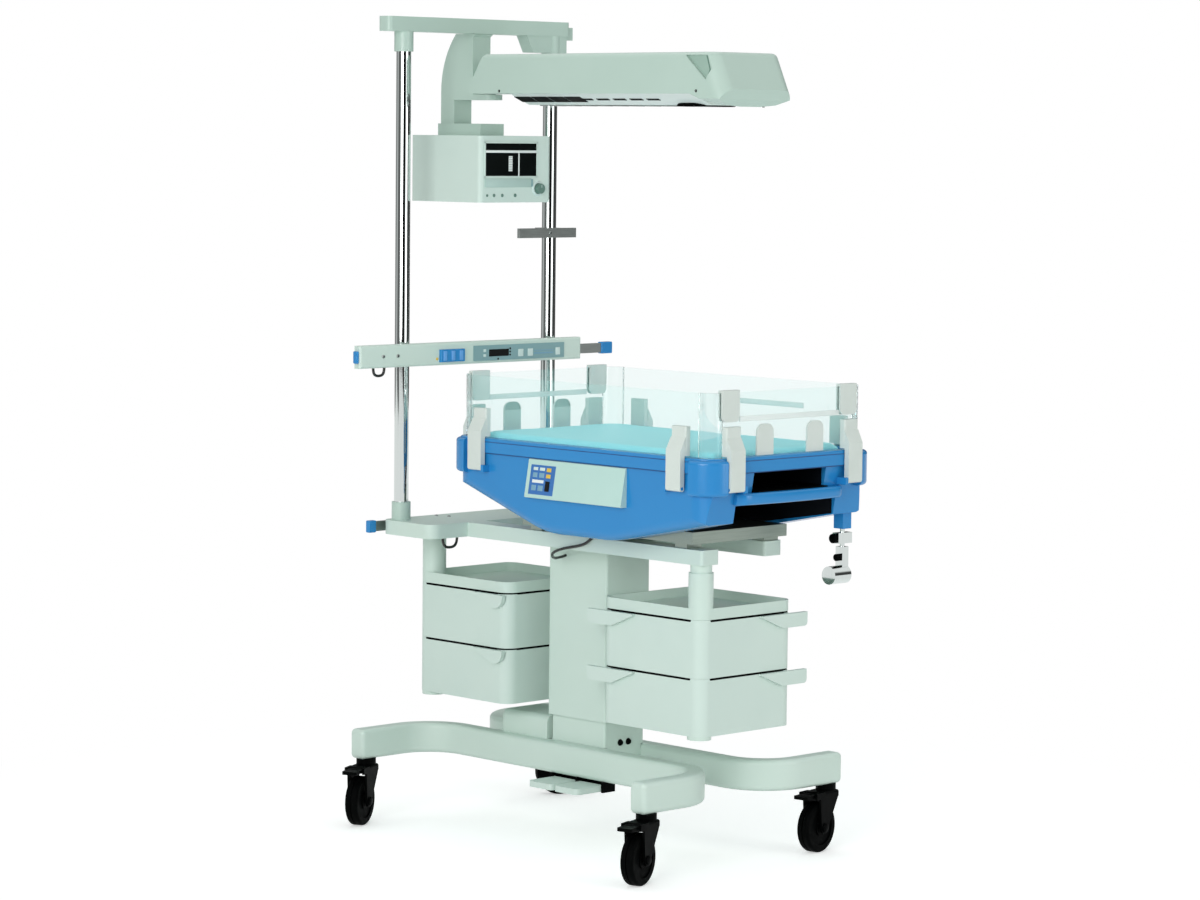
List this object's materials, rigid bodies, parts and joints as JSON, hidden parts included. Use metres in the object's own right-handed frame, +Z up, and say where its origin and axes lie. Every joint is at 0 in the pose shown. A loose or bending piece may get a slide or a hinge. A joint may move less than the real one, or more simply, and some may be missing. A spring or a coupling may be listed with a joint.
{
  "type": "infant radiant warmer",
  "caption": "Infant radiant warmer on casters: lifting column, tilting bed tub with folding clear walls, swivelling drawers, monitor and overhead radiant heater.",
  "frame": {"origin": "on the floor amid the four caster swivels", "axes": "+Z up, -Y towards the foot end, +X to the right seen from the foot end"},
  "size_m": [0.898, 1.255, 2.043],
  "materials": {
    "mint_paint": "satin",
    "mint_shell": "satin",
    "drive_metal": "satin",
    "black_plastic": "satin",
    "tyre": "matte",
    "rail_steel": "brushed",
    "pole_chrome": "polished",
    "blue_plastic": "gloss",
    "clear_wall": "clear",
    "frame_plastic": "satin",
    "panel_film": "satin",
    "display": "gloss",
    "mattress_cover": "coated",
    "reflector": "satin",
    "element": "matte",
    "cable_jacket": "matte"
  },
  "bodies": {
    "base": {"leg_left": "mint_paint", "leg_right": "mint_paint", "base_bridge": "mint_paint", "column_inner": "mint_paint", "lift_drive": "drive_metal", "pedal_bracket": "black_plastic"},
    "lift": {"column_outer": "mint_paint", "platform": "mint_paint", "drawer_masts": "mint_paint", "equipment_rails": "rail_steel", "rail_caps": "blue_plastic", "poles": "pole_chrome", "top_bar": "mint_paint", "heater_arm": "mint_paint", "monitor_case": "mint_shell", "display_windows": "display", "control_bar": "mint_paint", "control_panel": "panel_film", "bed_carrier": "rail_steel", "screws": "black_plastic", "cables": "cable_jacket"},
    "fork_head_left": {"caster_fork_head_left": "black_plastic"},
    "wheel_head_left": {"caster_wheel_head_left": "tyre"},
    "brake_head_left": {"caster_brake_head_left": "black_plastic"},
    "fork_foot_left": {"caster_fork_foot_left": "black_plastic"},
    "wheel_foot_left": {"caster_wheel_foot_left": "tyre"},
    "brake_foot_left": {"caster_brake_foot_left": "black_plastic"},
    "fork_foot_right": {"caster_fork_foot_right": "black_plastic"},
    "wheel_foot_right": {"caster_wheel_foot_right": "tyre"},
    "brake_foot_right": {"caster_brake_foot_right": "black_plastic"},
    "fork_head_right": {"caster_fork_head_right": "black_plastic"},
    "wheel_head_right": {"caster_wheel_head_right": "tyre"},
    "brake_head_right": {"caster_brake_head_right": "black_plastic"},
    "pedal_raise": {"pedal_raise": "mint_shell"},
    "pedal_lower": {"pedal_lower": "mint_shell"},
    "knob": {"monitor_knob": "black_plastic"},
    "button": {"push_button": "blue_plastic"},
    "heater": {"heater_housing": "mint_paint", "heater_reflector": "reflector", "heater_element": "element", "heater_grille": "reflector"},
    "drawer_foot_lower": {"drawer_foot_lower": "mint_shell"},
    "drawer_foot_upper": {"drawer_foot_upper": "mint_shell"},
    "drawer_head_lower": {"drawer_head_lower": "mint_shell"},
    "drawer_head_upper": {"drawer_head_upper": "mint_shell"},
    "bed": {"tub": "blue_plastic", "corner_bumpers": "blue_plastic", "corner_tubes": "clear_wall", "side_panel": "frame_plastic", "mattress": "mattress_cover"},
    "tray": {"xray_tray": "blue_plastic"},
    "wall_foot": {"wall_foot": "clear_wall", "wall_frame_foot": "frame_plastic"},
    "wall_right": {"wall_right": "clear_wall", "wall_frame_right": "frame_plastic"},
    "wall_head": {"wall_head": "clear_wall", "wall_frame_head": "frame_plastic"},
    "wall_left": {"wall_left": "clear_wall", "wall_frame_left": "frame_plastic"},
    "clamp": {"hose_clamp": "rail_steel"}
  },
  "joints": [
    {"name": "swivel_head_left", "type": "hinge", "parent": "base", "child": "fork_head_left", "pos_m": [-0.311, 0.508, 0.15], "axis": [0, 0, 1], "continuous": true},
    {"name": "roll_head_left", "type": "hinge", "parent": "fork_head_left", "child": "wheel_head_left", "pos_m": [-0.34664, 0.48984, 0.0625], "axis": [0.454, -0.891, 0], "continuous": true},
    {"name": "brake_head_left", "type": "hinge", "parent": "fork_head_left", "child": "brake_head_left", "pos_m": [-0.37426, 0.47577, 0.143], "axis": [0.454, -0.891, 0], "range_deg": [0, 15]},
    {"name": "swivel_foot_left", "type": "hinge", "parent": "base", "child": "fork_foot_left", "pos_m": [-0.311, -0.508, 0.15], "axis": [0, 0, 1], "continuous": true},
    {"name": "roll_foot_left", "type": "hinge", "parent": "fork_foot_left", "child": "wheel_foot_left", "pos_m": [-0.34904, -0.52036, 0.0625], "axis": [0.309, -0.9511, 0], "continuous": true},
    {"name": "brake_foot_left", "type": "hinge", "parent": "fork_foot_left", "child": "brake_foot_left", "pos_m": [-0.37853, -0.52994, 0.143], "axis": [0.309, -0.9511, 0], "range_deg": [0, 15]},
    {"name": "swivel_foot_right", "type": "hinge", "parent": "base", "child": "fork_foot_right", "pos_m": [0.311, -0.508, 0.15], "axis": [0, 0, 1], "continuous": true},
    {"name": "roll_foot_right", "type": "hinge", "parent": "fork_foot_right", "child": "wheel_foot_right", "pos_m": [0.27149, -0.51426, 0.0625], "axis": [0.1564, -0.9877, 0], "continuous": true},
    {"name": "brake_foot_right", "type": "hinge", "parent": "fork_foot_right", "child": "brake_foot_right", "pos_m": [0.24087, -0.51911, 0.143], "axis": [0.1564, -0.9877, 0], "range_deg": [0, 15]},
    {"name": "swivel_head_right", "type": "hinge", "parent": "base", "child": "fork_head_right", "pos_m": [0.311, 0.508, 0.15], "axis": [0, 0, 1], "continuous": true},
    {"name": "roll_head_right", "type": "hinge", "parent": "fork_head_right", "child": "wheel_head_right", "pos_m": [0.34564, 0.488, 0.0625], "axis": [0.5, 0.866, 0], "continuous": true},
    {"name": "brake_head_right", "type": "hinge", "parent": "fork_head_right", "child": "brake_head_right", "pos_m": [0.37249, 0.4725, 0.143], "axis": [0.5, 0.866, 0], "range_deg": [0, 15]},
    {"name": "pedal_raise_tread", "type": "hinge", "parent": "base", "child": "pedal_raise", "pos_m": [-0.1, -0.101, 0.15], "axis": [0, -1, 0], "range_deg": [0, 12], "stiffness_Nm_per_rad": 4, "springref_deg": -8.59},
    {"name": "pedal_lower_tread", "type": "hinge", "parent": "base", "child": "pedal_lower", "pos_m": [-0.1, -0.009, 0.15], "axis": [0, -1, 0], "range_deg": [0, 12], "stiffness_Nm_per_rad": 4, "springref_deg": -8.59},
    {"name": "bed_lift", "type": "slide", "parent": "base", "child": "lift", "axis": [0, 0, 1], "range_m": [-0.02, 0.2]},
    {"name": "knob_turn", "type": "hinge", "parent": "lift", "child": "knob", "pos_m": [0.076, 0.302, 1.615], "axis": [0, -1, 0], "continuous": true},
    {"name": "button_press", "type": "slide", "parent": "lift", "child": "button", "axis": [0, 1, 0], "range_m": [0, 0.004], "stiffness_N_per_m": 600, "springref_m": -0.002},
    {"name": "heater_swivel", "type": "hinge", "parent": "lift", "child": "heater", "pos_m": [0, 0.4, 1.88], "axis": [0, 0, 1], "range_deg": [-60, 60]},
    {"name": "drawer_foot_lower_swing", "type": "hinge", "parent": "lift", "child": "drawer_foot_lower", "pos_m": [-0.133, -0.504, 0.4], "axis": [0, 0, 1], "range_deg": [-100, 0]},
    {"name": "drawer_foot_upper_swing", "type": "hinge", "parent": "lift", "child": "drawer_foot_upper", "pos_m": [-0.133, -0.504, 0.54], "axis": [0, 0, 1], "range_deg": [-100, 0]},
    {"name": "drawer_head_lower_swing", "type": "hinge", "parent": "lift", "child": "drawer_head_lower", "pos_m": [-0.133, 0.452, 0.4], "axis": [0, 0, 1], "range_deg": [0, 100]},
    {"name": "drawer_head_upper_swing", "type": "hinge", "parent": "lift", "child": "drawer_head_upper", "pos_m": [-0.133, 0.452, 0.54], "axis": [0, 0, 1], "range_deg": [0, 100]},
    {"name": "bed_tilt", "type": "hinge", "parent": "lift", "child": "bed", "pos_m": [0, -0.215, 0.862], "axis": [1, 0, 0], "range_deg": [-10, 10]},
    {"name": "tray_draw", "type": "slide", "parent": "bed", "child": "tray", "axis": [0, -1, 0], "range_m": [0, 0.25]},
    {"name": "wall_foot_fold", "type": "hinge", "parent": "bed", "child": "wall_foot", "pos_m": [0, -0.681, 0.936], "axis": [1, 0, 0], "range_deg": [0, 90]},
    {"name": "wall_right_fold", "type": "hinge", "parent": "bed", "child": "wall_right", "pos_m": [0.29, -0.223, 0.936], "axis": [0, 1, 0], "range_deg": [0, 165]},
    {"name": "wall_head_fold", "type": "hinge", "parent": "bed", "child": "wall_head", "pos_m": [0, 0.235, 0.936], "axis": [-1, 0, 0], "range_deg": [0, 100]},
    {"name": "wall_left_fold", "type": "hinge", "parent": "bed", "child": "wall_left", "pos_m": [-0.29, -0.223, 0.936], "axis": [0, -1, 0], "range_deg": [0, 165]},
    {"name": "clamp_swivel", "type": "hinge", "parent": "bed", "child": "clamp", "pos_m": [0.236, -0.618, 0.82], "axis": [0, 0, 1], "range_deg": [-60, 60]}
  ]
}
